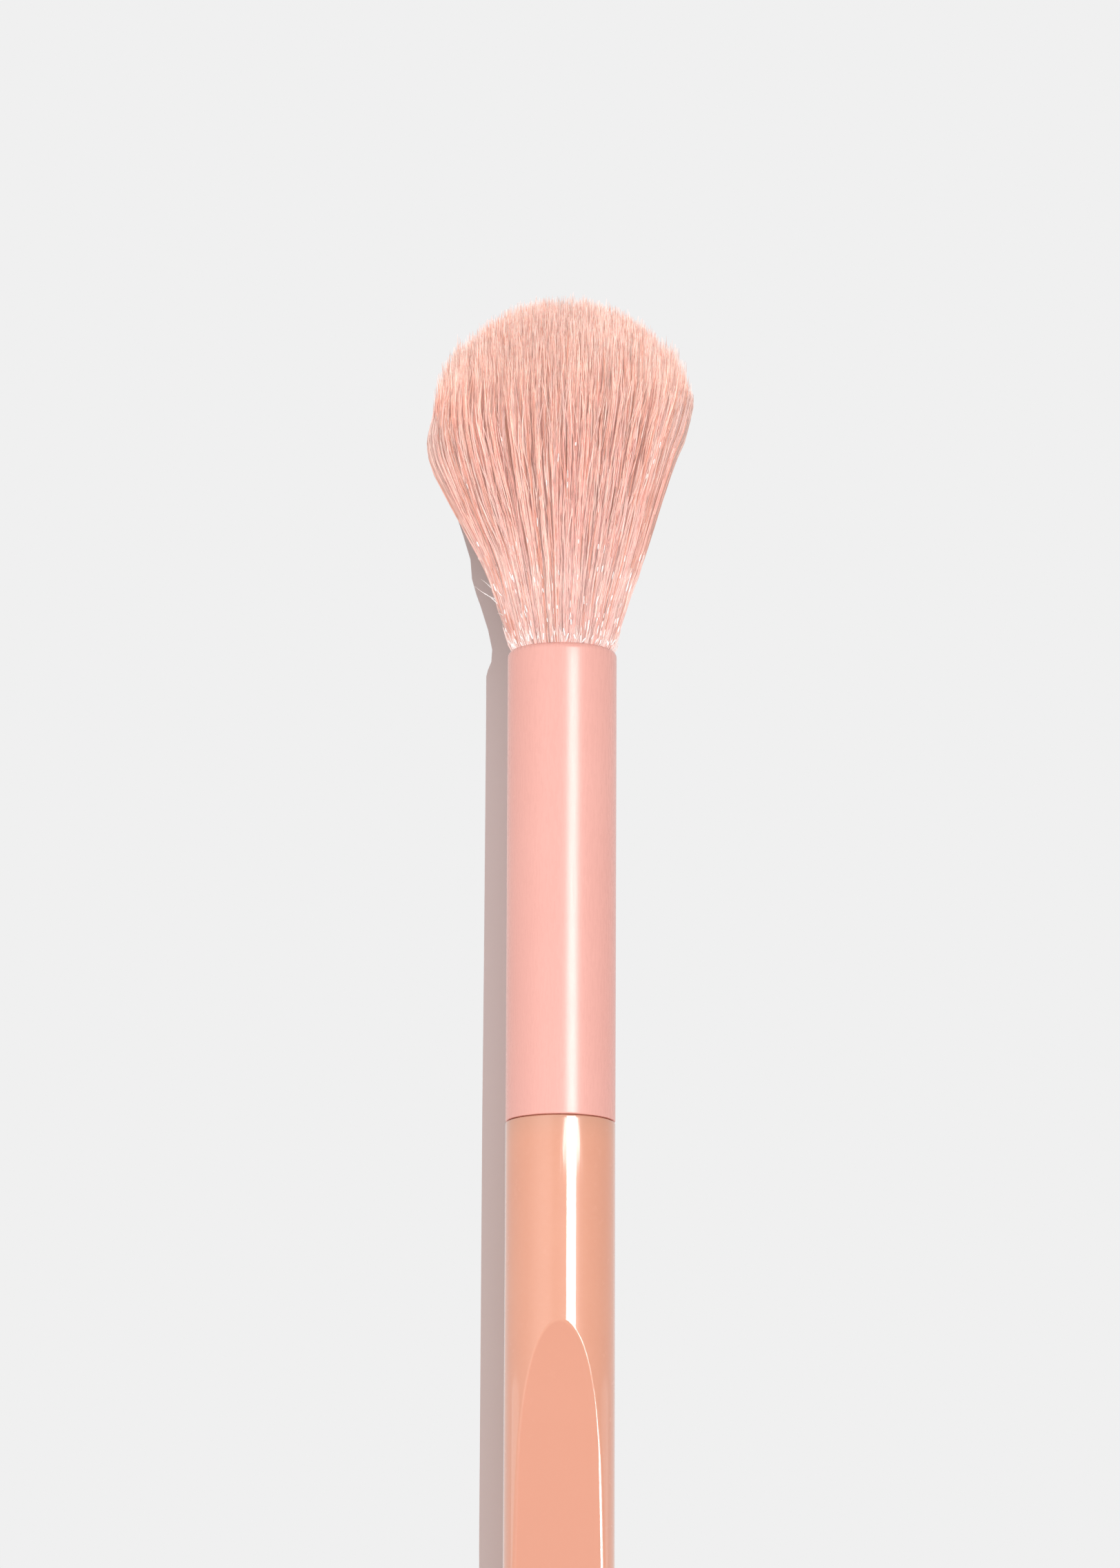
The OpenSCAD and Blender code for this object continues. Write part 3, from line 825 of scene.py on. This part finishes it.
def build_short():
    """Short pale fibres packed round the mouth, and pale flecks lying on the lower tuft."""
    g = np.random.default_rng(79)
    n = 420
    t = g.uniform(0, 2 * math.pi, n)
    u = g.uniform(0.93, 1.035, n)
    xy = np.stack([u * np.cos(t), u * np.sin(t)], -1)
    tips = g.uniform(0.5, 2.1, n) * g.choice([1.0, 1.6], n, p=[0.85, 0.15])
    f = np.array([0, 0.3, 0.5, 0.7, 0.86, 1.0])
    lev = -1.2 + f[None, :] * (tips[:, None] + 1.2)
    p = fibre_paths(xy, lev, tips, 7, clump_share=0.1, wave=0.4)
    tilt = g.normal(0, 0.14, (n, 1)) * np.clip(lev, 0, None)
    p[:, :, 0] += -np.sin(t)[:, None] * tilt
    p[:, :, 1] += np.cos(t)[:, None] * tilt
    rad = 0.062 * np.exp(g.normal(0, 0.2, (n, 1))) * np.clip((tips[:, None] - lev) / 0.9, 0.12, 1) ** 0.6
    v = np.broadcast_to(0.6 + 0.38 * f, lev.shape)
    ring = [tubes("mouth_hairs", p, rad, v, g.integers(0, 128, n))]
    # bright short ends that catch the light all round the mouth
    n = 52
    t = (np.arange(n) + g.uniform(-0.42, 0.42, n)) / n * 2 * math.pi
    h0 = g.uniform(-0.1, 0.75, n)
    length = g.uniform(0.45, 1.05, n)
    f = np.array([0, 0.15, 0.5, 0.85, 1.0])
    lev = h0[:, None] + f[None, :] * length[:, None]
    a = t[:, None] + g.normal(0, 0.035, (n, 1)) * (f[None, :] - 0.5) * 2
    r = env(lev, a) + 0.06
    rad = 0.115 * np.exp(g.normal(0, 0.25, (n, 1))) * np.array([0.3, 0.9, 1.0, 0.9, 0.3])[None, :]
    ring.append(tubes("mouth_ends", np.stack([r * np.cos(a), r * np.sin(a), lev + MOUTH], -1), rad,
                      np.broadcast_to(0.05 + 0.35 * f, lev.shape), g.integers(0, 128, n)))
    # a few stray short hairs stand off to the left
    n = 7
    f = np.linspace(0, 1, 8)
    start = np.array([5.2, 6.4, 7.0, 4.4, 5.8, 3.6, 6.8])[:, None]
    reach = np.array([2.5, 2.9, 1.9, 1.3, 1.7, 0.9, 1.1])[:, None]
    rise = np.array([0.80, 0.62, 0.95, 0.7, 1.0, 0.9, 0.8])[:, None]
    bow = np.array([0.30, -0.22, 0.14, 0.2, -0.2, 0.1, 0.15])[:, None]
    a = math.pi + np.array([0.05, -0.06, 0.02, -0.35, 0.42, 0.2, -2.9])[:, None] + 0 * f
    lev = start + reach * rise * f[None, :] + bow * np.sin(f * 2.9)[None, :]
    r = env(start, a) - 0.35 + reach * f[None, :]
    rad = 0.046 * np.clip((1 - f) / 0.6, 0.12, 1)[None, :] ** 0.8 + 0 * r
    ring.append(tubes("stray_hairs", np.stack([r * np.cos(a), r * np.sin(a), lev + MOUTH], -1), rad,
                      np.broadcast_to(0.05 + 0.35 * f, lev.shape), g.integers(0, 128, n)))
    flecks = []
    for name, count, lo, hi in (("flecks_lower", 170, 1.0, 8.3), ("flecks_upper", 60, CUT_H + 0.3, 24.0)):
        t = g.uniform(0, 2 * math.pi, count)
        u = g.uniform(0.985, 1.012, count)
        xy = np.stack([u * np.cos(t), u * np.sin(t)], -1)
        h0 = lo + (hi - lo) * g.uniform(0, 1, count) ** 1.25
        length = g.uniform(0.45, 1.15, count)
        f = np.array([0, 0.18, 0.5, 0.82, 1.0])
        lev = h0[:, None] + f[None, :] * length[:, None]
        p = fibre_paths(xy, lev, np.full(count, 40.0), 8, clump_share=0.0, wave=0.2)
        lean = g.normal(0, 0.1, (count, 1)) * (lev - h0[:, None])
        p[:, :, 0] += -np.sin(t)[:, None] * lean
        p[:, :, 1] += np.cos(t)[:, None] * lean
        rad = 0.075 * np.exp(g.normal(0, 0.2, (count, 1))) * np.array([0.25, 0.85, 1.0, 0.85, 0.2])[None, :]
        v = np.broadcast_to(0.05 + 0.35 * f, lev.shape)
        flecks.append(tubes(name, p, rad, v, g.integers(0, 128, count)))
    return ring, flecks


def build_locks():
    """Loose pale locks that stand a little outside the tuft, and single filaments that lie across it."""
    g = np.random.default_rng(81)
    made = []
    parts = []
    left_h = [CUT_H, 11.7, 15.9, 19.0, 22.1, 24.0, 25.5, 28.0, 29.5]
    left_r = [8.7, 9.8, 12.3, 13.95, 15.55, 16.15, 16.35, 16.05, 15.6]
    right_h = [CUT_H, 11.7, 14.3, 17.6, 20.8, 24.1, 25.7, 27.3, 29.0, 30.6, 32.6]
    right_r = [8.75, 9.8, 10.6, 11.6, 12.6, 13.7, 14.5, 14.95, 15.4, 15.8, 15.95]
    # (count, centre direction, spread, tip height, its spread, outline, thickness)
    for count, mid, wide, top, vary, lh, lr, thick in (
            (340, 180, 30, 27.6, 1.5, left_h, left_r, 1.1), (230, 0, 26, 31.0, 0.9, right_h, right_r, 0.8)):
        phi = np.radians(mid + g.normal(0, 0.5, count).clip(-1, 1) * wide)
        tips = top + g.normal(0, 0.5, count).clip(-1.8, 1.2) * vary
        f = np.array([0, 0.14, 0.28, 0.42, 0.55, 0.67, 0.78, 0.87, 0.94, 1.0])
        lev = CUT_H + f[None, :] * (tips[:, None] - CUT_H)
        far = np.abs(phi - math.radians(mid))[:, None]
        line = np.interp(lev, lh, lr)
        own = env(lev, phi[:, None]) + 0.05
        w = smooth(far, 0.15, 0.5)
        r = line * (1 - w) + own * w
        inward = g.uniform(0.0, 1.0, (count, 1)) ** 1.3 * thick * smooth(lev, 10.0, 18.0)
        curl = 0.35 * g.uniform(0, 1, (count, 1)) * smooth(lev - tips[:, None], -3.5, 0.0) ** 1.5
        r = r - inward - curl
        side = g.normal(0, 0.03, (count, 1)) * smooth(lev, 10.0, 26.0)
        a = phi[:, None] + side + 0.006 * np.sin(lev / g.uniform(0.8, 1.8, (count, 1)) + g.uniform(0, 6.28, (count, 1)))
        parts.append((np.stack([r * np.cos(a), r * np.sin(a), lev + MOUTH], -1), lev, tips))
    for k, (p, lev, tips) in enumerate(parts):
        n = len(p)
        rad = taper(lev, tips, 0.072 * np.exp(g.normal(0, 0.18, n)))
        v = 0.42 + 0.58 * np.clip(lev, 0, None) / tips[:, None]
        made.append(tubes(f"loose_lock_{'ab'[k]}", p, rad, v, g.integers(0, 128, n)))
    lows, highs = [], []
    for name, count, lo, hi, store in (("wisps_lower", 260, 1.4, CUT_H, lows), ("wisps_upper", 900, CUT_H, 31.0, highs)):
        t = g.uniform(0, 2 * math.pi, count)
        length = g.uniform(2.5, 6.0, count) if lo < CUT_H else g.uniform(3.5, 9.0, count)
        h0 = lo + g.uniform(0, 1, count) * (hi - lo - length)
        f = np.array([0, 0.12, 0.3, 0.5, 0.7, 0.88, 1.0])
        lev = h0[:, None] + f[None, :] * length[:, None]
        u = g.uniform(0.985, 1.006, (count, 1)) - 0.02 * (np.abs(f - 0.5) * 2)[None, :] ** 3
        turn = g.normal(0, 0.034, (count, 1)) * (f[None, :] - 0.5) * length[:, None] / 5.0
        a = t[:, None] + turn
        r = env(lev, a) * u
        p = np.stack([r * np.cos(a), r * np.sin(a), lev + MOUTH], -1)
        rad = 0.07 * np.exp(g.normal(0, 0.2, (count, 1))) * np.array([0.2, 0.8, 1, 1, 1, 0.7, 0.18])[None, :]
        store.append(tubes(name, p, rad, 0.25 + 0.5 * lev / 36.0, g.integers(0, 128, count)))
    return made, lows, highs


def build_core():
    """The shorter core filaments, as a closed streaked body under the outer ones."""
    N = 192
    ang = np.arange(N) / N * 2 * math.pi
    share, drop = 0.84, 2.6
    ridge = np.sin(ang * 61) * 0.5 + np.sin(ang * 97 + 1.3) * 0.5

    def ring(h, r_of):
        r = r_of(h, ang) + 0.10 * ridge
        return np.stack([r * np.cos(ang), r * np.sin(ang), np.full(N, MOUTH + h)], -1)

    def side(h, a):
        return share * env(h, a)

    hs = np.array([-5.0, -3.0, -1.2, -0.4, 0.3, 1.0, 2.0, 3.5, 5.0, 6.5, 8.0, CUT_H])
    rings = [ring(h, side) for h in hs]
    lower = rings_to_mesh("tuft_core_lower", rings, np.concatenate([[0], np.cumsum(np.diff(hs))]) + 0.0, pole_start=True, pole_end=True)
    top_r = DOME_R - drop
    hs2 = list(np.linspace(CUT_H, DOME_H - 1.0, 14))
    rings = [ring(h, side) for h in hs2]
    start = side(np.array(DOME_H - 1.0), ang)
    for t in np.linspace(0.06, math.pi / 2 - 0.05, 16):
        h = DOME_H - 1.0 + (top_r + 1.0) * math.sin(t)
        r = start * math.cos(t) ** 0.92
        rings.append(np.stack([(r + 0.1 * ridge * math.cos(t)) * np.cos(ang), (r + 0.1 * ridge * math.cos(t)) * np.sin(ang), np.full(N, MOUTH + h)], -1))
    k = len(rings)
    upper = rings_to_mesh("tuft_core_upper", rings, np.linspace(0, 40, k), pole_start=True, pole_end=True)
    return lower, upper


def build_root():
    """The bound bundle inside the ferrule, with filament ends showing at its foot."""
    N = 192
    ang = np.arange(N) / N * 2 * math.pi
    ridge = 0.5 * np.sin(ang * 83) + 0.5 * np.sin(ang * 131 + 0.7)
    pts = [(5.2, -18.0), (5.47, -17.7), (5.47, -7.0), (4.96, -5.4), (4.92, -5.0)]
    rings, hs = [], []
    for (r0, h0), (r1, h1) in zip(pts, pts[1:]):
        k = max(2, int(abs(h1 - h0) / 1.2))
        for i in range(k):
            w = i / k
            rings.append((r0 + (r1 - r0) * w, h0 + (h1 - h0) * w))
    rings.append(pts[-1])
    hs = [h for _, h in rings]
    skins = []
    for r, h in rings:
        rr = r - 0.05 + 0.05 * ridge
        skins.append(np.stack([rr * np.cos(ang), rr * np.sin(ang), np.full(N, MOUTH + h)], -1))
    arc = np.concatenate([[0], np.cumsum(np.maximum(np.abs(np.diff(hs)), 0.2))])
    return rings_to_mesh("bound_root", skins, arc, pole_start=True, pole_end=True)


lows, ups = build_outer()
for o in lows:
    o.data.materials.append(M_FIBRE)
    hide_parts("outer_bristles_lower")
    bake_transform(o)
for o in ups + build_inner():
    o.data.materials.append(M_FIBRE)
    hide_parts("outer_bristles_upper")
    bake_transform(o)
locks, wisps_low, wisps_high = build_locks()
for o in locks:
    o.data.materials.append(M_LOOSE)
    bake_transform(o)
for o in wisps_low:
    o.data.materials.append(M_WISP)
    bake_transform(o)
for o in wisps_high:
    o.data.materials.append(M_WISP)
    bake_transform(o)

mouth, flecks = build_short()
for o in mouth:
    o.data.materials.append(M_PALE)
    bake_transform(o)
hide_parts("mouth_fibres")
flecks[0].data.materials.append(M_PALE)
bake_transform(flecks[0])
flecks[1].data.materials.append(M_PALE)
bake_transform(flecks[1])

core_lower, core_upper = build_core()
core_lower.data.materials.append(M_CORE)
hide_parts("core_bristles_lower")
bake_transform(core_lower)
core_upper.data.materials.append(M_CORE)
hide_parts("core_bristles_upper")
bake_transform(core_upper)

root = build_root()
root.data.materials.append(M_ROOT)
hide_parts("bristle_root")
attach(root, "root")

# ------------------------------------------------------------------
# CAD nodes that stay as they are, inside the ferrule
# ------------------------------------------------------------------
for node, mat in (
    ("tenon_glue", resin_material("adhesive_film", lin(196, 176, 140), lin(222, 204, 170), 0.35)),
    ("root_plug", resin_material("cast_resin", lin(214, 182, 132), lin(232, 204, 158), 0.14)),
    ("root_binding", thread_material()),
):
    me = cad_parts[node].data
    for i in range(len(me.materials)):
        me.materials[i] = mat

# ------------------------------------------------------------------
# Stage: a pale floor and a pale card behind the brush, both seen from one side only
# ------------------------------------------------------------------
BACK = 0.8714


def stage_material(name, albedo, glow, fade=None):
    m = bpy.data.materials.new(name)
    m.use_nodes = True
    nt = m.node_tree
    nt.nodes.clear()
    out = nt.nodes.new("ShaderNodeOutputMaterial")
    dif = nt.nodes.new("ShaderNodeBsdfDiffuse")
    dif.inputs[0].default_value = (albedo, albedo, albedo, 1)
    em = nt.nodes.new("ShaderNodeEmission")
    em.inputs[0].default_value = (1, 1, 1, 1)
    em.inputs[1].default_value = glow
    add = nt.nodes.new("ShaderNodeAddShader")
    nt.links.new(dif.outputs[0], add.inputs[0])
    nt.links.new(em.outputs[0], add.inputs[1])
    clear = nt.nodes.new("ShaderNodeBsdfTransparent")
    geo = nt.nodes.new("ShaderNodeNewGeometry")
    mix = nt.nodes.new("ShaderNodeMixShader")
    fac = geo.outputs["Backfacing"]
    if fade is not None:
        tc = nt.nodes.new("ShaderNodeTexCoord")
        ln = nt.nodes.new("ShaderNodeVectorMath")
        ln.operation = "LENGTH"
        sub = nt.nodes.new("ShaderNodeVectorMath")
        sub.operation = "SUBTRACT"
        sub.inputs[1].default_value = fade[0]
        nt.links.new(tc.outputs["Object"], sub.inputs[0])
        nt.links.new(sub.outputs[0], ln.inputs[0])
        mr = nt.nodes.new("ShaderNodeMapRange")
        mr.interpolation_type = "SMOOTHSTEP"
        mr.inputs["From Min"].default_value = fade[1]
        mr.inputs["From Max"].default_value = fade[2]
        nt.links.new(ln.outputs["Value"], mr.inputs["Value"])
        mx = nt.nodes.new("ShaderNodeMath")
        mx.operation = "MAXIMUM"
        nt.links.new(mr.outputs[0], mx.inputs[0])
        nt.links.new(fac, mx.inputs[1])
        fac = mx.outputs[0]
    nt.links.new(fac, mix.inputs[0])
    nt.links.new(add.outputs[0], mix.inputs[1])
    nt.links.new(clear.outputs[0], mix.inputs[2])
    nt.links.new(mix.outputs[0], out.inputs[0])
    return m


def sheet(name, corners, mat):
    me = bpy.data.meshes.new(name)
    me.from_pydata(corners, [], [(0, 1, 2, 3)])
    ob = bpy.data.objects.new(name, me)
    bpy.context.scene.collection.objects.link(ob)
    me.materials.append(mat)
    return ob


sheet("floor", [(-0.9, -0.9, 0), (0.9, -0.9, 0), (0.9, 0.9, 0), (-0.9, 0.9, 0)],
      stage_material("pale_floor", 0.80, 0.31, fade=((0, 0, 0), 0.25, 0.85)))

# A pale card close behind the brush takes its shadow. It is seen from the front only. Its pink tone is painted light
# bounced from the brush into the shadow; its own lamp, tinted the other way, makes the lit part pale.
BACK_Y = 17.2
CARD = [(4.0, 3.5), (-6.6, 3.5), (-6.6, 0.2), (-9.4, 0.2), (-9.4, 19.1), (-9.5, 34.0), (-9.4, 86.4), (-9.3, 104.0), (-9.2, 133.1), (-9.2, 139.6),
        (-9.0, 140.4), (-8.6, 141.4), (-8.5, 142.9), (-9.0, 145.3), (-9.9, 148.2), (-10.5, 149.9), (-11.0, 151.7),
        (-11.2, 154.1), (-12.1, 157.1), (-13.0, 159.8), (-12.9, 161.2), (-11.5, 162.2), (-6.0, 163.0), (4.0, 163.0)]


def card_material():
    k = Mat("pale_card")
    nt = k.nt
    nt.nodes.remove(k.p)
    dif = k.node("ShaderNodeBsdfDiffuse")
    dif.inputs[0].default_value = CARD_BOUNCE_TINT
    clear = k.node("ShaderNodeBsdfTransparent")
    geo = k.node("ShaderNodeNewGeometry")
    dot = k.node("ShaderNodeVectorMath", operation="DOT_PRODUCT")
    k.link(geo.outputs["Incoming"], dot.inputs[0])
    dot.inputs[1].default_value = (0.0, -1.0, 0.0)
    facing = k.remap(dot.outputs["Value"], 0.90, 0.955)
    seen = k.math("MULTIPLY", facing, k.node("ShaderNodeLightPath").outputs["Is Camera Ray"], clamp=True)
    mix = k.node("ShaderNodeMixShader")
    k.link(seen, mix.inputs[0])
    k.link(clear.outputs[0], mix.inputs[1])
    k.link(dif.outputs[0], mix.inputs[2])
    k.link(mix.outputs[0], k.out.inputs[0])
    return k.m


# painted bounce light: the card's pinkish albedo gives its shadow the pink of light bounced from the brush
CARD_BOUNCE_TINT = (0.633, 0.551, 0.532, 1.0)
card_me = bpy.data.meshes.new("shadow_card")
card_me.from_pydata([(x * MM, BACK_Y * MM, z * MM) for x, z in CARD], [], [tuple(range(len(CARD)))])
card = bpy.data.objects.new("shadow_card", card_me)
bpy.context.scene.collection.objects.link(card)
card_me.materials.append(card_material())

world = bpy.data.worlds.new("studio")
bpy.context.scene.world = world
world.use_nodes = True
wn = world.node_tree
wn.nodes.clear()
w_out = wn.nodes.new("ShaderNodeOutputWorld")
lp = wn.nodes.new("ShaderNodeLightPath")
bg_cam = wn.nodes.new("ShaderNodeBackground")
bg_cam.inputs[0].default_value = (BACK, BACK, BACK, 1)
bg_amb = wn.nodes.new("ShaderNodeBackground")
bg_amb.inputs[0].default_value = (1.0, 0.995, 0.99, 1)
bg_amb.inputs[1].default_value = 0.54
bg_gloss = wn.nodes.new("ShaderNodeBackground")
bg_gloss.inputs[0].default_value = (1.0, 0.985, 0.98, 1)
# a paler wall at the front left shows in the gloss as a broad soft band
w_tc = wn.nodes.new("ShaderNodeTexCoord")
w_sep = wn.nodes.new("ShaderNodeSeparateXYZ")
wn.links.new(w_tc.outputs["Generated"], w_sep.inputs[0])


def w_math(op, a, b=None):
    n = wn.nodes.new("ShaderNodeMath")
    n.operation = op
    for i, x in enumerate((a, b)):
        if x is None:
            continue
        if isinstance(x, (int, float)):
            n.inputs[i].default_value = x
        else:
            wn.links.new(x, n.inputs[i])
    return n.outputs[0]


def w_step(x, lo, hi):
    n = wn.nodes.new("ShaderNodeMapRange")
    n.interpolation_type = "SMOOTHSTEP"
    n.inputs["From Min"].default_value = lo
    n.inputs["From Max"].default_value = hi
    wn.links.new(x, n.inputs["Value"])
    return n.outputs[0]


azimuth = w_math("ARCTAN2", w_sep.outputs[0], w_math("MULTIPLY", w_sep.outputs[1], -1.0))
patch = w_math("MULTIPLY", w_step(azimuth, math.radians(-78), math.radians(-34)), w_step(azimuth, math.radians(-9), math.radians(-27)))
dim = w_math("MULTIPLY", w_step(azimuth, math.radians(42), math.radians(60)), w_step(azimuth, math.radians(135), math.radians(95)))
room = w_math("ADD", w_math("MULTIPLY", patch, 0.95), 0.84)
wn.links.new(w_math("ADD", room, w_math("MULTIPLY", dim, -0.36)), bg_gloss.inputs[1])
w_soft = wn.nodes.new("ShaderNodeMixShader")
wn.links.new(lp.outputs["Is Glossy Ray"], w_soft.inputs[0])
wn.links.new(bg_amb.outputs[0], w_soft.inputs[1])
wn.links.new(bg_gloss.outputs[0], w_soft.inputs[2])
w_mix = wn.nodes.new("ShaderNodeMixShader")
wn.links.new(lp.outputs["Is Camera Ray"], w_mix.inputs[0])
wn.links.new(w_soft.outputs[0], w_mix.inputs[1])
wn.links.new(bg_cam.outputs[0], w_mix.inputs[2])
wn.links.new(w_mix.outputs[0], w_out.inputs[0])


def lamp(name, azimuth, elevation, distance, size, energy, aim=(0, 0, 0.1), diffuse=True, glossy=True):
    ld = bpy.data.lights.new(name, "AREA")
    ld.shape = "RECTANGLE"
    ld.size, ld.size_y = size
    ld.energy = energy
    ob = bpy.data.objects.new(name, ld)
    bpy.context.scene.collection.objects.link(ob)
    a, e = math.radians(azimuth), math.radians(elevation)
    d = Vector((math.sin(a) * math.cos(e), -math.cos(a) * math.cos(e), math.sin(e)))
    ob.location = Vector(aim) + d * distance
    ob.rotation_mode = "QUATERNION"
    ob.rotation_quaternion = d.to_track_quat("Z", "Y")
    ob.visible_camera = False
    ob.visible_diffuse = diffuse
    ob.visible_glossy = glossy
    return ob


def watts(radiance, size):
    return radiance * size[0] * size[1] * math.pi


key_size = (0.40, 0.40)
lamp("key", 27, 12, 1.0, key_size, watts(1.9, key_size))
lamp("fill_left", -34, 12, 1.0, key_size, watts(1.5, key_size), glossy=False)
lamp("fill_front", -1, 4, 1.0, (0.5, 0.5), watts(3.3, (0.5, 0.5)), glossy=False)
lamp("key_gloss", 23.2, 5.75, 1.0, (0.345, 0.39), watts(22.8, (0.345, 0.39)), diffuse=False)
flare_only = bpy.data.collections.new("flare_only")
flare_only.objects.link(handle)
FLARE = [(0.42, 0.2385, 0.0020, 9.0), (0.50, 0.2410, 0.0022, 12.0), (0.62, 0.2440, 0.0034, 14.0), (0.66, 0.2475, 0.0034, 14.0),
         (0.50, 0.2510, 0.0030, 12.0), (0.88, 0.2500, 0.0070, 2.4)]
for k, (side, level, tall, radiance) in enumerate(FLARE):
    flare = lamp(f"key_flare_{k}", 23.2, math.degrees(math.asin(level - 0.1)), 0.999 - 0.001 * k, (side, tall),
                 watts(radiance, (side, tall)), diffuse=False)
    flare.light_linking.receiver_collection = flare_only
for name, azimuth_deg, side, radiance in (("low_right", 28, 0.72, 13.0), ("low_left_edge", -105, 0.44, 0.85), ("low_right_edge", 109, 0.44, 0.7)):
    low = lamp(name, azimuth_deg, 2.2, 0.985, (side, 0.10), watts(radiance, (side, 0.10)), diffuse=False)
    low.light_linking.receiver_collection = flare_only
# this one lights the card alone, tinted against the card's painted pink so that the lit card reads pale
card_lamp = lamp("card_key", 23, 10, 1.0, (0.30, 0.30), watts(27.2, (0.30, 0.30)))
card_lamp.data.color = (0.631, 0.921, 1.0)
only = bpy.data.collections.new("card_only")
only.objects.link(card)
card_lamp.light_linking.receiver_collection = only

# ------------------------------------------------------------------
# Camera
# ------------------------------------------------------------------
W, H = 1624, 2274
SEAM_PX = (814.6, 1629.3)
ELEV = math.radians(9.3)
DIST = 1.2
SCALE = 12.25 / MM                              # pixels per metre at the seam
down = math.atan((SEAM_PX[1] - H / 2) / (SCALE * DIST))
f_px = SCALE * DIST * math.cos(down)
cam_d = bpy.data.cameras.new("camera")
cam_d.sensor_fit = "AUTO"
cam_d.sensor_width = 36.0
cam_d.lens = f_px * 36.0 / H
cam = bpy.data.objects.new("camera", cam_d)
bpy.context.scene.collection.objects.link(cam)
cam.location = Vector((0, -DIST * math.cos(ELEV), SEAM * MM - DIST * math.sin(ELEV)))
pitch = ELEV + down
fwd = Vector((0, math.cos(pitch), math.sin(pitch)))
cam.rotation_mode = "QUATERNION"
quat = fwd.to_track_quat("-Z", "Y")
from mathutils import Quaternion
cam.rotation_quaternion = Quaternion(fwd, math.radians(-0.22)) @ quat
cam_d.shift_x = (W / 2 - SEAM_PX[0]) / H
cam_d.clip_start, cam_d.clip_end = 0.01, 20.0
bpy.context.scene.camera = cam
bpy.context.scene.view_settings.view_transform = "Standard"
bpy.context.scene.view_settings.look = "None"
